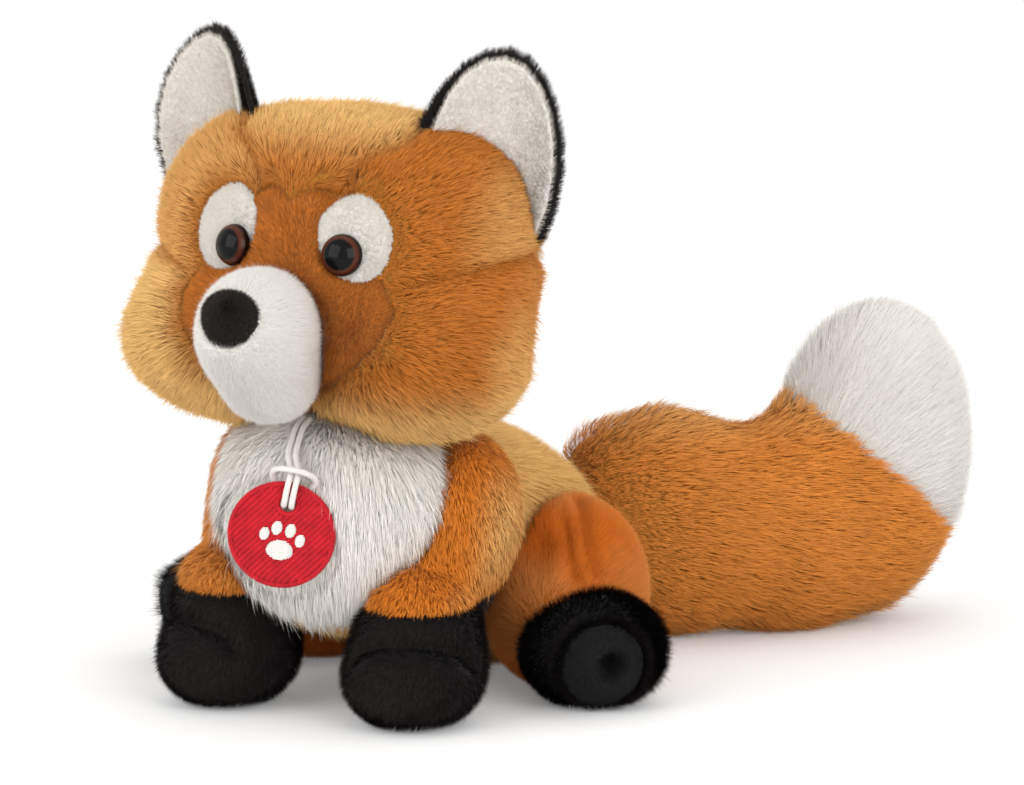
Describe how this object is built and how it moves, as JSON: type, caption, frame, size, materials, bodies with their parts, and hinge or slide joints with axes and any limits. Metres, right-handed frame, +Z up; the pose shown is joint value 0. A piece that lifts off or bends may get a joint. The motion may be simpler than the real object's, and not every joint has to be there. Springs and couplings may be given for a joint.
{
  "type": "plush fox",
  "caption": "Stuffed toy fox with a turning head, upright ears, long bushy tail and a round cord-hung tag, standing on its feet and seat.",
  "frame": {"origin": "middle of the seat's flat, on the surface that the toy stands on", "axes": "+Z up, -Y the way the toy faces, +X its left side"},
  "size_m": [0.2089, 0.327, 0.2241],
  "materials": {
    "golden_pile": "matte",
    "russet_pile": "matte",
    "short_russet_pile": "matte",
    "rust_pile": "matte",
    "white_pile": "matte",
    "black_pile": "matte",
    "sole_cloth": "matte",
    "nose_flock": "matte",
    "filling": "matte",
    "eye_plastic": "gloss",
    "washer_plastic": "matte",
    "tag_cloth": "matte",
    "tag_cord": "matte"
  },
  "bodies": {
    "trunk": {"torso_skin": "golden_pile", "bib": "white_pile", "body_stuffing": "filling", "front_leg_left": "rust_pile", "front_leg_right": "rust_pile", "front_paw_left": "black_pile", "front_paw_right": "black_pile", "thigh_left": "rust_pile", "thigh_right": "rust_pile", "hind_foot_left": "black_pile", "hind_foot_right": "black_pile", "hind_sole_left": "sole_cloth", "hind_sole_right": "sole_cloth"},
    "head": {"crown": "golden_pile", "nape": "golden_pile", "face_mask": "short_russet_pile", "temple_left": "russet_pile", "temple_right": "russet_pile", "cheek_left": "russet_pile", "cheek_right": "russet_pile", "eye_patch_left": "white_pile", "eye_patch_right": "white_pile", "eye_left": "eye_plastic", "eye_right": "eye_plastic", "eye_washer_left": "washer_plastic", "eye_washer_right": "washer_plastic", "head_stuffing": "filling", "muzzle": "white_pile", "nose": "nose_flock", "ear_lining_left": "white_pile", "ear_back_left": "black_pile", "ear_lining_right": "white_pile", "ear_back_right": "black_pile"},
    "tail": {"tail_skin": "russet_pile", "tail_tip": "white_pile", "tail_stuffing": "filling"},
    "tag": {"tag_disc": "tag_cloth", "tag_cord": "tag_cord"}
  },
  "joints": [
    {"name": "neck_turn", "type": "hinge", "parent": "trunk", "child": "head", "pos_m": [0, -0.074, 0.072], "axis": [0, 0, 1], "range_deg": [-15, 15], "stiffness_Nm_per_rad": 0.4},
    {"name": "tail_swing", "type": "hinge", "parent": "trunk", "child": "tail", "pos_m": [0.0241, 0.0541, 0.037], "axis": [0, 0, 1], "range_deg": [-5, 40]},
    {"name": "tag_swing", "type": "hinge", "parent": "trunk", "child": "tag", "pos_m": [0, -0.1083, 0.1013], "axis": [-1, 0, 0], "range_deg": [0, 25]}
  ]
}
